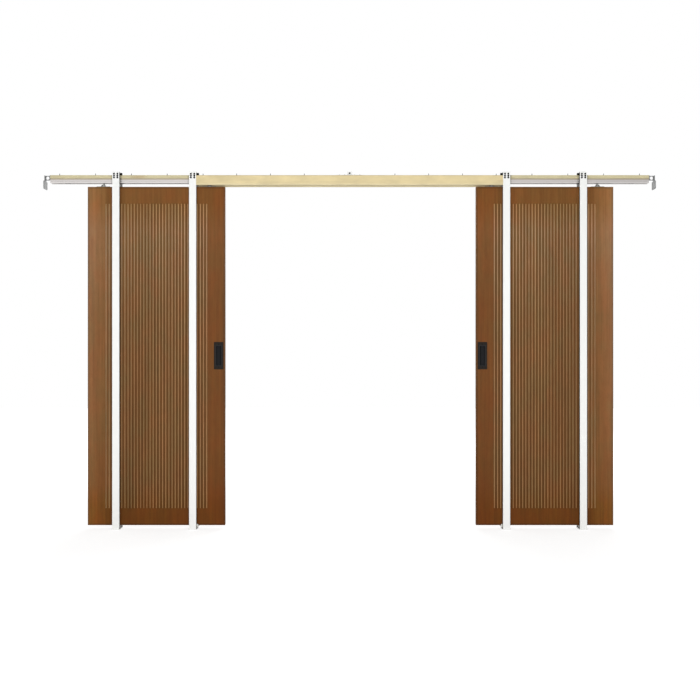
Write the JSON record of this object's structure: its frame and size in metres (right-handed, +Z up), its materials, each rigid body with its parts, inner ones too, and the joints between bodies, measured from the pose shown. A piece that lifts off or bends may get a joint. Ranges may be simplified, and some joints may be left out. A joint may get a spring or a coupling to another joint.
{
  "type": "pocket door frame",
  "caption": "Pocket door frame with steel split studs, pine header and roller track, and a pair of fluted wood leaves that slide apart into the wall.",
  "frame": {"origin": "middle of the underside of the left jamb's floor plate, on the floor", "axes": "+X along the wall to the right, +Y through the wall to the back, +Z up"},
  "size_m": [3.668, 0.095, 2.148],
  "materials": {
    "leaf_wood": "stained, satin",
    "pine": "planed, unfinished",
    "aluminium": "extruded, satin",
    "white_steel": "white powder coat",
    "galvanised_steel": "galvanised",
    "dark_steel": "black coated",
    "zinc_steel": "zinc plated",
    "black_metal": "matt black",
    "nylon": "moulded",
    "stop_rubber": "moulded"
  },
  "bodies": {
    "frame": {"header_board_left": "pine", "header_board_right": "pine", "track_left": "aluminium", "track_right": "aluminium", "header_joint_plate": "white_steel", "fascia_front": "pine", "fascia_back": "pine", "end_bracket_left": "galvanised_steel", "end_bracket_right": "galvanised_steel", "jamb_stud_left_front": "white_steel", "jamb_stud_left_back": "white_steel", "jamb_saddle_left": "dark_steel", "jamb_floor_plate_left": "white_steel", "jamb_stud_right_front": "white_steel", "jamb_stud_right_back": "white_steel", "jamb_saddle_right": "dark_steel", "jamb_floor_plate_right": "white_steel", "pocket_stud_left_front": "white_steel", "pocket_stud_left_back": "white_steel", "pocket_saddle_left": "dark_steel", "pocket_floor_plate_left": "white_steel", "pocket_stud_right_front": "white_steel", "pocket_stud_right_back": "white_steel", "pocket_saddle_right": "dark_steel", "pocket_floor_plate_right": "white_steel", "door_guide_left": "nylon", "door_guide_right": "nylon", "track_stop_left": "stop_rubber", "track_stop_right": "stop_rubber", "track_stop_centre": "stop_rubber"},
    "left_leaf": {"leaf_left": "leaf_wood", "pull_left_front": "black_metal", "pull_left_back": "black_metal", "hanger_plates_left": "zinc_steel", "hanger_bolts_left": "zinc_steel", "carriages_left": "zinc_steel", "wheels_left": "nylon"},
    "right_leaf": {"leaf_right": "leaf_wood", "pull_right_front": "black_metal", "pull_right_back": "black_metal", "hanger_plates_right": "zinc_steel", "hanger_bolts_right": "zinc_steel", "carriages_right": "zinc_steel", "wheels_right": "nylon"}
  },
  "joints": [
    {"name": "left_leaf_slide", "type": "slide", "parent": "frame", "child": "left_leaf", "axis": [1, 0, 0], "range_m": [-0.1655, 0.746]},
    {"name": "right_leaf_slide", "type": "slide", "parent": "frame", "child": "right_leaf", "axis": [-1, 0, 0], "range_m": [-0.1545, 0.757]}
  ]
}
